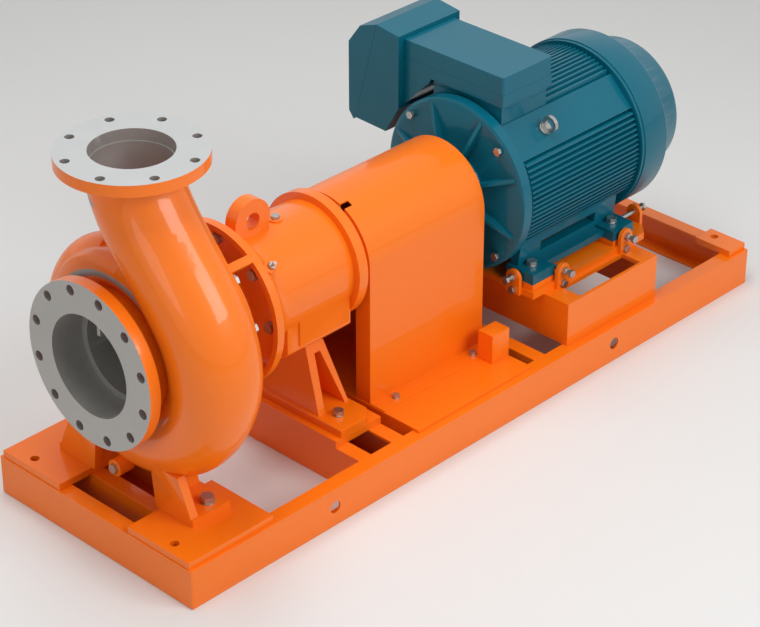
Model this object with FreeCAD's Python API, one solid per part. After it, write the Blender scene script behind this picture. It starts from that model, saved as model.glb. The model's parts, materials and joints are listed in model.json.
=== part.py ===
import FreeCAD, Part
import math
import os
from FreeCAD import Vector

# End-suction pump set on a channel baseplate, millimetres.
# Origin: middle of the base's footprint on the ground. +X runs along the shaft from the suction
# flange to the motor fan, +Y is to the left of someone looking along +X, +Z is up.

# ---------------------------------------------------------------- base frame
BASE_L = 2008.0            # over the two end channels
BASE_W = 660.0             # over the two long rails
CHANNEL_H = 101.6          # 4 in channel section
CHANNEL_B = 40.2           # flange width
CHANNEL_WEB = 4.7
CHANNEL_FLANGE = 7.5
WEB_HOLE_R = 16.0          # lifting holes in the rails
WEB_HOLE_X = (-556.0, 449.0)
PLATE_T = 18.0             # thick machined plates on the corners
PLATE_INSET_X = 3.0
PLATE_INSET_Y = 9.0
PUMP_PLATE_L = 256.0       # front plates, along X
PUMP_PLATE_W = 203.0
REAR_PLATE_L = 67.0
REAR_PLATE_W = 113.0
ANCHOR_X = 1942.0          # spacing of the anchor holes
ANCHOR_Y = 483.0
ANCHOR_R = 11.0
CROSS_SEAT = 41.0          # cross channels under the pump plates start this far from their ends

# ---------------------------------------------------------------- shaft line
MOTOR_H = 225.0            # frame size: shaft centre above the motor's feet
PEDESTAL_H = 120.4         # pedestal above the rails
MOTOR_PLATE_T = 19.0
SHIM_T = 16.0              # shim pack under each motor foot
SHAFT_Z = CHANNEL_H + PEDESTAL_H + MOTOR_PLATE_T + SHIM_T + MOTOR_H

# ---------------------------------------------------------------- pump casing
DISCHARGE_X = -830.0
DISCHARGE_H = 479.0        # discharge face above the shaft
SUCTION_REACH = 155.7      # suction face ahead of the discharge axis
SUCTION_R = 203.0          # 10 in class 150 flange
SUCTION_BORE_R = 125.0
SUCTION_PCD_R = 181.0
SUCTION_HOLES = 12
SUCTION_HOLE_R = 12.7
SUCTION_T = 30.2
OUTLET_R = 171.5           # 8 in class 150 flange
OUTLET_BORE_R = 100.0
OUTLET_PCD_R = 149.2
OUTLET_HOLES = 8
OUTLET_HOLE_R = 11.1
OUTLET_T = 28.4
CASING_WALL = 14.0
WALL_SWELL = 0.6           # the wall is this much thicker where the spiral ends
VOLUTE_START = 20.0        # degrees from straight up, turning away from the near side
VOLUTE_END = 285.0
VOLUTE_OUT_START = 252.0   # reach of the outer wall from the shaft
VOLUTE_OUT_END = 345.0
VOLUTE_R_START = 62.0      # radius of the passage's outer wall
VOLUTE_R_END = 105.0
VOLUTE_GROWTH = 0.7
NECK_R = 107.0
DRUM_R = 238.0             # side walls of the casing
DRUM_FRONT = 76.0          # front wall ahead of the volute's middle
DRUM_BACK = 92.0
NOZZLE_R = 158.0
SHOULDER_R = 196.0         # ring round the nozzle on the front wall
BACK_OPENING_R = 205.0     # the cover and impeller come out here
COVER_PCD_R = 218.0
COVER_BOLTS = 12
FOOT_BOLT_Y = 196.0
FOOT_IN = 106.0
FOOT_OUT = 230.0
FOOT_T = 20.0
FOOT_RIB_T = 22.0
FOOT_FRONT = -905.0
FOOT_BACK = -790.0
BOLT_CLEAR = 1.0           # radius of a bolt hole over its bolt
SEAT = 0.05                # radius of a bore over what is fitted into it
COVER_THREAD = 11.0        # depth of the cover bolts' threads in the casing

# ---------------------------------------------------------------- rotor of the pump
IMPELLER_R = 200.0
IMPELLER_EYE_R = 118.0
IMPELLER_W = 92.0
SHROUD_T = 9.0
HUB_R = 52.0
VANES = 5
VANE_T = 11.0
SIDE_GAP = 3.0             # impeller to casing walls
SHAFT_R = 35.0             # between the bearings
SHAFT_TIP_R = 27.5         # coupling end
SEAL_R = 45.0              # shaft sleeve

# ---------------------------------------------------------------- bearing frame
LANTERN_R = 203.0
LANTERN_WALL = 14.0
COVER_T = 26.0
LANTERN_X0 = -712.0        # joint face with the cover
LANTERN_X1 = -590.0        # front of the bulkhead
LANTERN_X2 = -532.0        # the taper ends on the round housing
HOUSING_R = 142.0
HOUSING_BORE_R = 95.0
HOUSING_X1 = -300.0
HOUSING_FLANGE_R = 160.0
HOUSING_END = -272.0
SUMP_Y = 128.0
SUMP_Z = 336.0
SUMP_X0 = -505.0
BULKHEAD_PCD_R = 166.0
EYE_X = -500.0
EYE_Z = SHAFT_Z + 178.0
EYE_R = 54.0
EYE_HOLE_R = 21.0
EYE_T = 34.0
WINDOW_RIB = 6.0           # degrees that each rib takes
WINDOW_RIBS = (36.0, 144.0, 216.0, 324.0)
WINDOW_X0 = -694.0
WINDOW_X1 = -606.0
LEG_X = -362.0
LEG_PAD_T = 20.0
LEG_FOOT_T = 20.0
LEG_PAD_HX = 76.0
LEG_PAD_HY = 214.0
LEG_BOLT_Y = 158.0

# ---------------------------------------------------------------- coupling and guard
MOTOR_FOOT_X = 294.0       # front feet bolts
MOTOR_C = 149.0            # shaft shoulder to the front feet bolts
MOTOR_SHAFT_L = 140.0
MOTOR_SHAFT_R = 30.0
SPACER_L = 140.0
HUB_OUT_R = 52.0
HUB_FLANGE_R = 84.0
HUB_L = 88.0
HUB_FLANGE_T = 14.0
DISC_T = 8.0
GUARD_X0 = -254.0
GUARD_X1 = 145.0
GUARD_R = 148.0
GUARD_T = 3.0
GUARD_LIP = 47.0           # width of the inward end plates
GUARD_FOOT = 48.0
FLOOR_PLATE_T = 8.0

# ---------------------------------------------------------------- motor, frame 225
MOTOR_A = 356.0            # feet bolts across
MOTOR_B = 311.0            # feet bolts along
MOTOR_FOOT_HOLE_R = 9.5
FRAME_X0 = 232.0
FRAME_X1 = 652.0
FRAME_R = 196.0            # under the fins
FIN_R = 222.0
FIN_T = 4.5
FIN_STEP = 13.0
STATOR_R = 172.0
STATOR_IN_R = 112.0
AIR_GAP = 1.0
SHIELD_R = 226.0
SHIELD_BOLT_R = 205.0
COWL_R = 232.0
COWL_X0 = 662.0
COWL_X1 = 745.0
COWL_BACK_R = 196.0
COWL_END_R = 172.0
COWL_END = 869.0
COWL_T = 2.5
FAN_R = 165.0

MOTOR_SHOULDER_X = MOTOR_FOOT_X - MOTOR_C
MOTOR_TIP_X = MOTOR_SHOULDER_X - MOTOR_SHAFT_L
PUMP_TIP_X = MOTOR_TIP_X - SPACER_L

AXIS_X = Vector(1, 0, 0)
AXIS_Y = Vector(0, 1, 0)
AXIS_Z = Vector(0, 0, 1)
SIDES = (-1, 1)
parts = {}


# ---------------------------------------------------------------- helpers
def box(x0, x1, y0, y1, z0, z1):
    return Part.makeBox(x1 - x0, y1 - y0, z1 - z0, Vector(x0, y0, z0))


def side_box(side, x0, x1, y0, y1, z0, z1):
    """A box whose y limits are given for the left side and mirrored for the near side."""
    lo, hi = sorted((side * y0, side * y1))
    return box(x0, x1, lo, hi, z0, z1)


def rod(x, y, z, axis, r, length):
    return Part.makeCylinder(r, length, Vector(x, y, z), axis)


def rod_x(x0, x1, r, y=0.0, z=SHAFT_Z):
    return rod(x0, y, z, AXIS_X, r, x1 - x0)


def ring_x(x0, x1, r_out, r_in, y=0.0, z=SHAFT_Z):
    return rod_x(x0, x1, r_out, y, z).cut(rod_x(x0 - 1, x1 + 1, r_in, y, z))


def prism(points, sweep):
    """A closed polygon of vectors pushed along a vector."""
    wire = Part.makePolygon(list(points) + [points[0]])
    return outward(Part.Face(wire).extrude(sweep))


def outward(solid):
    """The same solid with its faces turned to look outwards."""
    return solid if solid.Volume > 0 else solid.reversed()


def turned(profile):
    """A closed outline of (x, radius) turned about the shaft line.

    An entry (x, radius, "via") is the middle point of an arc between its two neighbours.
    """
    spots = [(Vector(p[0], 0, SHAFT_Z + p[1]), len(p) > 2) for p in profile]
    spots.append(spots[0])
    edges, k = [], 0
    while k < len(spots) - 1:
        start = spots[k][0]
        if spots[k + 1][1]:
            edges.append(Part.Arc(start, spots[k + 1][0], spots[k + 2][0]).toShape())
            k += 2
        else:
            edges.append(Part.makeLine(start, spots[k + 1][0]))
            k += 1
    face = Part.Face(Part.Wire(edges))
    return outward(face.revolve(Vector(0, 0, SHAFT_Z), AXIS_X, 360))


def fused(shapes):
    first, rest = shapes[0], list(shapes[1:])
    return first.fuse(rest).removeSplitter() if rest else first


def less(shape, cutters):
    return shape.cut(list(cutters))


def around(count, radius, start_deg=0.0):
    """(y, z) of points evenly spaced round the shaft line, from straight up towards the near side."""
    steps = [math.radians(start_deg + 360.0 * k / count) for k in range(count)]
    return [(-radius * math.sin(a), SHAFT_Z + radius * math.cos(a)) for a in steps]


def hexagon(x, y, z, axis, across, height):
    """A hexagonal head standing on a point along an axis."""
    u = AXIS_Z if abs(axis.z) < 0.5 else AXIS_X
    v = axis.cross(u)
    r = across / math.sqrt(3.0)
    turns = [math.radians(60.0 * k + 30.0) for k in range(6)]
    points = [Vector(x, y, z) + u * (r * math.cos(a)) + v * (r * math.sin(a)) for a in turns]
    return prism(points, axis * height)


def hex_bolt(x, y, z, axis, r, shank, across, head, washer=True):
    """A bolt whose seat is at the point: shank against the axis, washer and head along it."""
    back = axis * -1
    solids = [rod(x, y, z, back, r, shank)]
    lift = 0.0
    if washer:
        lift = r * 0.35
        solids.append(rod(x, y, z, axis, across * 0.58, lift))
    seat = Vector(x, y, z) + axis * lift
    solids.append(hexagon(seat.x, seat.y, seat.z, axis, across, head))
    return fused(solids)


def rounded(shape, radius, keep):
    """Fillets the straight edges that the test picks."""
    edges = [e for e in shape.Edges if keep(e)]
    return shape.makeFillet(radius, edges) if edges else shape


def upright(edge):
    tangent = edge.tangentAt(edge.FirstParameter)
    return abs(tangent.z) > 0.999


def store(name, *solids):
    parts[name] = solids[0] if len(solids) == 1 else Part.makeCompound(list(solids))


# ---------------------------------------------------------------- base frame
def channel_x(side, x0, x1):
    """A rail along X: its web outside, its flanges pointing in."""
    out, tip = BASE_W / 2, BASE_W / 2 - CHANNEL_B
    return fused([
        side_box(side, x0, x1, out - CHANNEL_WEB, out, 0, CHANNEL_H),
        side_box(side, x0, x1, tip, out, 0, CHANNEL_FLANGE),
        side_box(side, x0, x1, tip, out, CHANNEL_H - CHANNEL_FLANGE, CHANNEL_H)])


def channel_y(x_web, facing, half_web, half_flange):
    """A channel along Y: its web's outer face at x_web, its flanges pointing along facing * X."""
    def slab(depth, half, z0, z1):
        lo, hi = sorted((x_web, x_web + facing * depth))
        return box(lo, hi, -half, half, z0, z1)
    return fused([
        slab(CHANNEL_WEB, half_web, 0, CHANNEL_H),
        slab(CHANNEL_B, half_flange, 0, CHANNEL_FLANGE),
        slab(CHANNEL_B, half_flange, CHANNEL_H - CHANNEL_FLANGE, CHANNEL_H)])


HALF_L = BASE_L / 2
HALF_W = BASE_W / 2
FLANGE_TIP_Y = HALF_W - CHANNEL_B
PLATE_TOP = CHANNEL_H + PLATE_T
ANCHORS = [(sx * ANCHOR_X / 2, sy * ANCHOR_Y / 2) for sx in SIDES for sy in SIDES]
PUMP_PLATE_END = -HALF_L + PLATE_INSET_X + PUMP_PLATE_L
FLOOR_X0, FLOOR_X1 = GUARD_X0 - 2.0, GUARD_X1 + 3.0
FLOOR_HALF_Y = 310.0
REAR_CROSS_X = 184.0


def make_base():
    rails, ends = [], []
    for side in SIDES:
        rail = channel_x(side, -HALF_L + CHANNEL_WEB, HALF_L - CHANNEL_WEB)
        holes = [rod(x, side * (HALF_W - CHANNEL_B), CHANNEL_H / 2, AXIS_Y * side, WEB_HOLE_R,
                     CHANNEL_B + 1) for x in WEB_HOLE_X]
        rails.append(less(rail, holes))
        channel = channel_y(side * HALF_L, -side, HALF_W, FLANGE_TIP_Y)
        holes = [rod(x, y, -1, AXIS_Z, ANCHOR_R, CHANNEL_H + 2)
                 for x, y in ANCHORS if x * side > 0]
        ends.append(less(channel, holes))
    store("base_rails", *rails)
    store("base_end_channels", *ends)
    front_cross = -HALF_L + PLATE_INSET_X + CROSS_SEAT + 54.0
    cross = [(front_cross, 1), (PUMP_PLATE_END - 4.0, -1), (LEG_X - LEG_PAD_HX + 1.0, 1),
             (LEG_X + LEG_PAD_HX - 1.0, -1), (FLOOR_X0 + 2.0, 1), (REAR_CROSS_X, 1)]
    store("base_cross_channels", *[channel_y(x, facing, FLANGE_TIP_Y, FLANGE_TIP_Y)
                                   for x, facing in cross])
    pad = box(LEG_X - LEG_PAD_HX, LEG_X + LEG_PAD_HX, -LEG_PAD_HY, LEG_PAD_HY,
              CHANNEL_H, CHANNEL_H + LEG_PAD_T)
    bolt_holes = [rod(LEG_BOLT_X, y, CHANNEL_H - 1, AXIS_Z, LEG_BOLT_R + BOLT_CLEAR, LEG_PAD_T + 2)
                  for y in (-LEG_BOLT_Y, LEG_BOLT_Y)]
    store("base_machined_pads", less(pad, bolt_holes), *corner_plates())


def corner_plates():
    solids = []
    x_in, y_out = -HALF_L + PLATE_INSET_X, HALF_W - PLATE_INSET_Y
    for side in SIDES:
        plate = side_box(side, x_in, x_in + PUMP_PLATE_L, y_out - PUMP_PLATE_W, y_out,
                         CHANNEL_H, PLATE_TOP)
        cutters = [rod(x, y, CHANNEL_H - 1, AXIS_Z, ANCHOR_R, PLATE_T + 2)
                   for x, y in ANCHORS if x < 0 and y * side > 0]
        cutters.append(rod(DISCHARGE_X, side * FOOT_BOLT_Y, CHANNEL_H - 1, AXIS_Z,
                           FOOT_BOLT_R + BOLT_CLEAR, PLATE_T + 2))
        solids.append(less(plate, cutters))
    x_out = HALF_L - PLATE_INSET_X
    for side in SIDES:
        plate = side_box(side, x_out - REAR_PLATE_L, x_out, y_out - REAR_PLATE_W, y_out,
                         CHANNEL_H, PLATE_TOP)
        cutters = [rod(x, y, CHANNEL_H - 1, AXIS_Z, ANCHOR_R, PLATE_T + 2)
                   for x, y in ANCHORS if x > 0 and y * side > 0]
        solids.append(less(plate, cutters))
    return solids


# ---------------------------------------------------------------- pump casing
FOOT_BOLT_R = 10.0
LEG_BOLT_R = 8.0
LEG_BOLT_X = LEG_X - 11.0
SUCTION_X = DISCHARGE_X - SUCTION_REACH
OUTLET_Z = SHAFT_Z + DISCHARGE_H
DRUM_X0 = DISCHARGE_X - DRUM_FRONT
DRUM_X1 = DISCHARGE_X + DRUM_BACK


def volute_station(share):
    """Centre (y, z), direction (y, z) and radius of the spiral passage at a share of its sweep."""
    turn = math.radians(VOLUTE_START + (VOLUTE_END - VOLUTE_START) * share)
    grown = share ** VOLUTE_GROWTH
    out = VOLUTE_OUT_START + (VOLUTE_OUT_END - VOLUTE_OUT_START) * grown
    r = VOLUTE_R_START + (VOLUTE_R_END - VOLUTE_R_START) * share
    reach = out - r
    centre = (reach * math.sin(turn), SHAFT_Z + reach * math.cos(turn))
    return centre, (math.cos(turn), -math.sin(turn)), r


def neck_station(share, start, heading, top_z):
    """A cubic curve from the end of the spiral, turning up to the middle of the outlet."""
    reach = 150.0
    p0, p3 = start, (0.0, top_z)
    p1 = (p0[0] + heading[0] * reach, p0[1] + heading[1] * reach)
    p2 = (0.0, top_z - reach)
    a, b = (1 - share), share
    weights = (a ** 3, 3 * b * a * a, 3 * b * b * a, b ** 3)
    slopes = (-3 * a * a, 3 * a * a - 6 * a * b, 6 * a * b - 3 * b * b, 3 * b * b)
    at = [sum(w * p[k] for w, p in zip(weights, (p0, p1, p2, p3))) for k in (0, 1)]
    along = [sum(w * p[k] for w, p in zip(slopes, (p0, p1, p2, p3))) for k in (0, 1)]
    size = math.hypot(*along)
    return at, (along[0] / size, along[1] / size)


def passage(inset, top_z, spiral_steps=8, neck_steps=6):
    """The spiral and its neck as one loft of circles, drawn in by the wall where inset is given."""
    wires = []
    for k in range(spiral_steps + 1):
        centre, heading, r = volute_station(k / spiral_steps)
        wires.append(round_section(centre, heading, r - inset * (1 + WALL_SWELL * k / spiral_steps)))
    for k in range(1, neck_steps + 1):
        share = k / neck_steps
        at, along = neck_station(share, centre, heading, top_z)
        radius = r + (NECK_R - r) * share - inset * (1 + WALL_SWELL * (1 - share))
        wires.append(round_section(at, along, radius))
    return Part.makeLoft(wires, True, False)


def round_section(centre, heading, r):
    circle = Part.Circle(Vector(DISCHARGE_X, centre[0], centre[1]),
                         Vector(0, heading[0], heading[1]), r)
    return Part.Wire(circle.toShape())


def flange_holes(count, radius, hole_r, x0, x1):
    return [rod_x(x0 - 1, x1 + 1, hole_r, y, z)
            for y, z in around(count, radius, 180.0 / count)]


def casing_shell():
    """The outer form: spiral, neck, side walls, suction nozzle and both flanges."""
    wall = turned([(DRUM_X0 + 10, 0), (DRUM_X0 + 10, NOZZLE_R), (DRUM_X0 - 8, SHOULDER_R - 10),
                   (DRUM_X0 - 8, SHOULDER_R + 6), (DRUM_X0 + 4, DRUM_R - 8), (DRUM_X0 + 22, DRUM_R),
                   (DRUM_X1, DRUM_R), (DRUM_X1, 0)])
    nozzle = rod_x(SUCTION_X, DRUM_X0 + 20, NOZZLE_R)
    suction = rod_x(SUCTION_X, SUCTION_X + SUCTION_T, SUCTION_R)
    outlet = rod(DISCHARGE_X, 0, OUTLET_Z - OUTLET_T, AXIS_Z, OUTLET_R, OUTLET_T)
    collar = Part.makeCone(NECK_R, NECK_R + 16, 18, Vector(DISCHARGE_X, 0, OUTLET_Z - OUTLET_T - 18),
                           AXIS_Z)
    return fused([passage(0.0, OUTLET_Z - OUTLET_T), wall, nozzle, suction, outlet, collar])


def casing_feet():
    """Each foot: a pad under the bolt and a cast rib in front, both running up into the spiral."""
    solids = []
    for side in SIDES:
        solids.append(side_box(side, FOOT_FRONT, FOOT_BACK, FOOT_IN, FOOT_OUT,
                               PLATE_TOP, PLATE_TOP + FOOT_T))
        rib = [(FOOT_IN, PLATE_TOP), (FOOT_OUT, PLATE_TOP), (FOOT_OUT - 6, PLATE_TOP + FOOT_T),
               (FOOT_OUT - 46, PLATE_TOP + 112), (FOOT_IN - 12, PLATE_TOP + 110)]
        solids.append(prism([Vector(FOOT_FRONT, side * y, z) for y, z in rib],
                            AXIS_X * FOOT_RIB_T))
        web = [(FOOT_FRONT, PLATE_TOP), (FOOT_BACK, PLATE_TOP), (FOOT_BACK, PLATE_TOP + FOOT_T),
               (DISCHARGE_X + 24, PLATE_TOP + 110), (FOOT_FRONT, PLATE_TOP + 110)]
        y_web = sorted((side * FOOT_IN, side * (FOOT_IN + 20)))[0]
        solids.append(prism([Vector(x, y_web, z) for x, z in web], AXIS_Y * 20))
    return solids


def make_casing():
    drain = rod(DRAIN_X, DRAIN_Y, DRAIN_Z, AXIS_X * -1, DRAIN_BOSS_R, DRAIN_LEN)
    body = fused([casing_shell()] + casing_feet() + [drain])
    hollow = [passage(CASING_WALL, OUTLET_Z - OUTLET_T),
              rod(DISCHARGE_X, 0, OUTLET_Z - OUTLET_T - 1, AXIS_Z, OUTLET_BORE_R - 4, OUTLET_T + 2),
              rod_x(DRUM_X0 + CASING_WALL + 8, DRUM_X1 + 1, BACK_OPENING_R),
              rod_x(SUCTION_X - 1, DRUM_X0 + 30, SUCTION_BORE_R),
              rod_x(DRUM_X1, DRUM_X1 + 60, DRUM_R + 2)]
    hollow += flange_holes(SUCTION_HOLES, SUCTION_PCD_R, SUCTION_HOLE_R, SUCTION_X,
                           SUCTION_X + SUCTION_T)
    hollow += [rod(DISCHARGE_X + OUTLET_PCD_R * math.cos(a), OUTLET_PCD_R * math.sin(a),
                   OUTLET_Z - OUTLET_T - 1, AXIS_Z, OUTLET_HOLE_R, OUTLET_T + 2)
               for a in [math.radians(22.5 + 45.0 * k) for k in range(OUTLET_HOLES)]]
    hollow += [rod(DISCHARGE_X, side * FOOT_BOLT_Y, PLATE_TOP - 1, AXIS_Z,
                   FOOT_BOLT_R + BOLT_CLEAR, FOOT_T + 2) for side in SIDES]
    hollow += [rod_x(DRUM_X1 - COVER_THREAD, DRUM_X1 + 1, COVER_BOLT_R + SEAT, y, z)
               for y, z in around(COVER_BOLTS, COVER_PCD_R, 180.0 / COVER_BOLTS)]
    hollow.append(rod(DRAIN_X + 10, DRAIN_Y, DRAIN_Z, AXIS_X * -1, DRAIN_PLUG_R, DRAIN_LEN + 20))
    body = less(body, hollow)
    rib = box(DRUM_X0 - 46, WEAR_RING_X0 - 1, -5, 5, SHAFT_Z + 64, SHAFT_Z + SUCTION_BORE_R + 3)
    store("volute_casing", body.fuse(rib))
    plug = fused([rod(DRAIN_X - DRAIN_LEN, DRAIN_Y, DRAIN_Z, AXIS_X, DRAIN_PLUG_R, 22),
                  hexagon(DRAIN_X - DRAIN_LEN, DRAIN_Y, DRAIN_Z, AXIS_X * -1, 22, 9)])
    bolts = [hex_bolt(DISCHARGE_X, side * FOOT_BOLT_Y, PLATE_TOP + FOOT_T, AXIS_Z, FOOT_BOLT_R,
                      FOOT_T + PLATE_T, 30, 13) for side in SIDES]
    store("drain_plug", plug)
    store("casing_foot_bolts", *bolts)


DRAIN_X = DISCHARGE_X - 40.0
DRAIN_Y = 24.0
DRAIN_Z = SHAFT_Z - 316.0
DRAIN_BOSS_R = 21.0
DRAIN_PLUG_R = 10.0
DRAIN_LEN = 42.0


# ---------------------------------------------------------------- pump rotor and cover
SPIGOT_X = DRUM_X1 - 12.0                  # inner face of the cover
FIT = 0.3                                  # room between turned faces that pass each other
IMPELLER_BACK = SPIGOT_X - SIDE_GAP
VANE_BACK = IMPELLER_BACK - SHROUD_T
VANE_WIDE, VANE_TIP = 82.0, 62.0           # passage width at the eye and at the rim
WEAR_RING_X0, WEAR_RING_X1 = DRUM_X0 + 8.0, DRUM_X0 + 28.0
SLEEVE_X1 = -640.0
CHAMBER_R = 68.0
CHAMBER_X0 = DRUM_X1 + 8.0
CHAMBER_X1 = -656.0
GLAND_T = 15.0
GLAND_PCD_R = 84.0
SEAL_FACE_X = -690.0
BEARING_OUT_R = 75.0                       # 70 x 150 x 35 bearings
BEARING_IN_R = SHAFT_R
BEARING_W = 35.0
ROLLER_PATH_R = 55.0
ROLLER_R = 9.0
ROLLERS = 11
INBOARD_X = -560.0                         # front faces of the two bearings
OUTBOARD_X = -352.0
NUT_X0, NUT_X1 = -822.0, -800.0
VANE_ROOT = 4.0                            # how deep the vanes run into both shrouds


def vane(turn_deg):
    """One backward-curved vane between two arcs, from the eye to the rim."""
    def at(radius, deg):
        a = math.radians(turn_deg + deg)
        return Vector(VANE_BACK + VANE_ROOT, -radius * math.sin(a), SHAFT_Z + radius * math.cos(a))
    inner_r = 66.0
    edge_in = math.degrees(VANE_T / inner_r)
    edge_out = math.degrees(VANE_T / IMPELLER_R)
    middle_r = (inner_r + IMPELLER_R) / 2
    front = Part.Arc(at(inner_r, 0), at(middle_r, -42), at(IMPELLER_R, -62)).toShape()
    rim = Part.makeLine(at(IMPELLER_R, -62), at(IMPELLER_R, -62 - edge_out))
    back = Part.Arc(at(IMPELLER_R, -62 - edge_out), at(middle_r, -42 - edge_out * 1.5),
                    at(inner_r, -edge_in)).toShape()
    root = Part.makeLine(at(inner_r, -edge_in), at(inner_r, 0))
    face = Part.Face(Part.Wire([front, rim, back, root]))
    return outward(face.extrude(AXIS_X * -(VANE_WIDE + 16)))


def make_impeller():
    front = VANE_BACK - VANE_WIDE
    tip = VANE_BACK - VANE_TIP
    eye = IMPELLER_EYE_R
    shroud = turned([(WEAR_RING_X0, eye - 9), (WEAR_RING_X0, eye), (WEAR_RING_X1, eye),
                     (front + 6, eye + 24, "via"), (tip - SHROUD_T, IMPELLER_R), (tip, IMPELLER_R),
                     (front + 16, eye + 20, "via"), (front + 6, eye - 9)])
    back = turned([(IMPELLER_BACK, SHAFT_TIP_R + 5), (IMPELLER_BACK, IMPELLER_R),
                   (VANE_BACK, IMPELLER_R), (VANE_BACK, HUB_R + 48),
                   (VANE_BACK - 6, HUB_R + 10, "via"),
                   (NUT_X1 - 2, HUB_R - 10), (NUT_X1 - 2, SHAFT_TIP_R + 5)])
    root = VANE_ROOT
    zone = turned([(VANE_BACK + root, HUB_R - 14), (VANE_BACK + root, IMPELLER_R - 0.5),
                   (tip - root, IMPELLER_R - 0.5), (front + 12, eye + 22, "via"),
                   (front + 1, eye - root), (front + 1, HUB_R - 14)])
    vanes = [vane(360.0 * k / VANES).common(zone) for k in range(VANES)]
    store("impeller", outward(fused([back, shroud] + vanes)))
    nut = fused([hexagon(NUT_X1 - 2, 0, SHAFT_Z, AXIS_X * -1, 74, 16),
                 turned([(NUT_X1 - 18, 0), (NUT_X1 - 18, 34), (NUT_X0 - 24, 20, "via"),
                         (NUT_X0 - 36, 0)])])
    store("impeller_nut", less(nut, [rod_x(NUT_X0 - 10, NUT_X1, PUMP_THREAD_R)]))
    store("wear_ring", ring_x(WEAR_RING_X0, WEAR_RING_X1, SUCTION_BORE_R, eye + 0.6))


PUMP_THREAD_R = 22.0
SLEEVE_SEAT_R = 38.0
SHAFT_MIDDLE_R = 42.0
HOUSING_COVER_T = 13.0


def make_pump_shaft():
    shaft = fused([
        rod_x(NUT_X0 - 8, NUT_X1 - 2, PUMP_THREAD_R),
        rod_x(NUT_X1 - 2, IMPELLER_BACK, SHAFT_TIP_R + 5),
        rod_x(IMPELLER_BACK, INBOARD_X - 8, SLEEVE_SEAT_R),
        rod_x(INBOARD_X - 8, OUTBOARD_X + 2 * BEARING_W + 3, SHAFT_R),
        rod_x(INBOARD_X + BEARING_W + 2, OUTBOARD_X - 2, SHAFT_MIDDLE_R),
        rod_x(OUTBOARD_X + 2 * BEARING_W, PUMP_TIP_X, SHAFT_TIP_R)])
    key_seat = box(PUMP_TIP_X - HUB_L + 8, PUMP_TIP_X - 6, -KEY_W / 2, KEY_W / 2,
                   SHAFT_Z + SHAFT_TIP_R - KEY_H / 2, SHAFT_Z + SHAFT_TIP_R + KEY_H)
    store("pump_shaft", less(shaft, [key_seat]))
    store("shaft_sleeve", ring_x(IMPELLER_BACK, SLEEVE_X1, SEAL_R, SLEEVE_SEAT_R + SEAT))


KEY_W, KEY_H = 16.0, 10.0


def make_seal():
    rotating = fused([ring_x(SEAL_FACE_X - 12, SEAL_FACE_X, 58, SEAL_R),
                      ring_x(SEAL_FACE_X - 34, SEAL_FACE_X - 12, 53, SEAL_R)])
    store("seal_rotating_ring", rotating)
    store("seal_seat", ring_x(SEAL_FACE_X + FIT, CHAMBER_X1, 57, SEAL_R + 1.5))
    studs = around(4, GLAND_PCD_R, 45)
    gland = less(fused([ring_x(CHAMBER_X1, CHAMBER_X1 + GLAND_T, GLAND_PCD_R + 16, SEAL_R + 1.5)]),
                 [rod_x(CHAMBER_X1 - 1, CHAMBER_X1 + GLAND_T + 1, GLAND_STUD_R + BOLT_CLEAR, y, z)
                  for y, z in studs])
    store("seal_gland", gland)
    store("gland_studs", *[hex_bolt(CHAMBER_X1 + GLAND_T, y, z, AXIS_X, GLAND_STUD_R,
                                    GLAND_T + 24, 19, 10) for y, z in studs])


GLAND_STUD_R = 6.0
COVER_BOLT_R = 8.0
LANTERN_FLANGE_T = 16.0


def make_cover():
    joint = LANTERN_X0
    cover = turned([(SPIGOT_X, SEAL_R + 5), (SPIGOT_X, BACK_OPENING_R), (DRUM_X1, BACK_OPENING_R),
                    (DRUM_X1, DRUM_R), (joint, DRUM_R), (joint, CHAMBER_R + 46),
                    (joint + 16, CHAMBER_R + 36, "via"), (joint + 28, CHAMBER_R + 32),
                    (CHAMBER_X1, CHAMBER_R + 32), (CHAMBER_X1, CHAMBER_R), (CHAMBER_X0, CHAMBER_R),
                    (CHAMBER_X0, SEAL_R + 5)])
    holes = [rod_x(CHAMBER_X1 - 26, CHAMBER_X1 + 1, GLAND_STUD_R, y, z)
             for y, z in around(4, GLAND_PCD_R, 45)]
    holes += cover_bolt_holes(DRUM_X1 - 1, joint + 1)
    store("casing_cover", less(cover, holes))
    seat = joint + LANTERN_FLANGE_T
    store("cover_bolts", *[hex_bolt(seat, y, z, AXIS_X, COVER_BOLT_R, seat - DRUM_X1 + COVER_THREAD - 1, 24, 11)
                           for y, z in around(COVER_BOLTS, COVER_PCD_R, 180.0 / COVER_BOLTS)])


def cover_bolt_holes(x0, x1):
    return [rod_x(x0, x1, COVER_BOLT_R + BOLT_CLEAR, y, z)
            for y, z in around(COVER_BOLTS, COVER_PCD_R, 180.0 / COVER_BOLTS)]


# ---------------------------------------------------------------- bearing frame
LANTERN_TAPER_X = LANTERN_X1 + 5.0
VENT_X = -414.0
LEVEL_X = -543.0
CHAMBER_WALL_X = (INBOARD_X + BEARING_W + 4, OUTBOARD_X - 4)


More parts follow.
